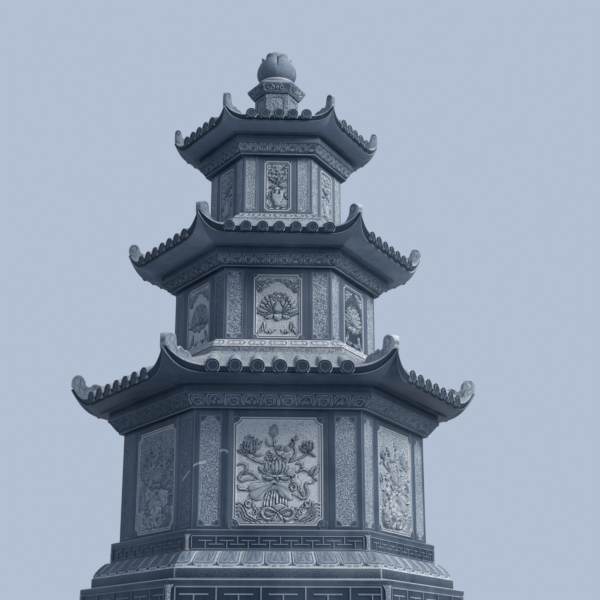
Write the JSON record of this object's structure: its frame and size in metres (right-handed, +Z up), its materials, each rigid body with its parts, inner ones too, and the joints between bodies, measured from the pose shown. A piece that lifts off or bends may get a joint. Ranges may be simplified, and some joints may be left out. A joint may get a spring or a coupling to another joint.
{
  "type": "stone pagoda",
  "caption": "Free-standing hexagonal memorial pagoda in carved dark stone, with stacked storeys under upturned tiled roofs, a moulded base and a lotus bud finial.",
  "frame": {"origin": "on the ground under the middle of the hexagonal plan", "axes": "+Z up, one flat face of the hexagon looks along -Y, and two corners lie on the X axis"},
  "size_m": [3.3, 2.868, 5.3073],
  "materials": {
    "dressed_stone": "sawn and honed dark blue-grey stone with chalky edges",
    "carved_stone": "carved and bush-hammered blue-grey stone, paler than the honed faces"
  },
  "bodies": {
    "root": {"cap": "carved_stone", "cornice_1": "carved_stone", "cornice_2": "carved_stone", "cornice_3": "carved_stone", "eaves_1": "dressed_stone", "eaves_2": "dressed_stone", "eaves_3": "dressed_stone", "lotus_bud": "carved_stone", "lower_fret_course": "dressed_stone", "lower_lotus_course": "carved_stone", "neck": "carved_stone", "panel_1_back": "carved_stone", "panel_1_front": "carved_stone", "panel_1_left_back": "carved_stone", "panel_1_left_front": "carved_stone", "panel_1_right_back": "carved_stone", "panel_1_right_front": "carved_stone", "panel_2_back": "carved_stone", "panel_2_front": "carved_stone", "panel_2_left_back": "carved_stone", "panel_2_left_front": "carved_stone", "panel_2_right_back": "carved_stone", "panel_2_right_front": "carved_stone", "pilaster_1_back_left": "dressed_stone", "pilaster_1_back_right": "dressed_stone", "pilaster_1_front_left": "dressed_stone", "pilaster_1_front_right": "dressed_stone", "pilaster_1_left": "dressed_stone", "pilaster_1_right": "dressed_stone", "pilaster_2_back_left": "dressed_stone", "pilaster_2_back_right": "dressed_stone", "pilaster_2_front_left": "dressed_stone", "pilaster_2_front_right": "dressed_stone", "pilaster_2_left": "dressed_stone", "pilaster_2_right": "dressed_stone", "platform_2": "carved_stone", "platform_3": "carved_stone", "plinth_slab": "dressed_stone", "tiles_1": "carved_stone", "tiles_2": "carved_stone", "tiles_3": "carved_stone", "upper_fret_course": "dressed_stone", "upper_lotus_course": "carved_stone", "wall_3": "carved_stone"}
  },
  "joints": []
}
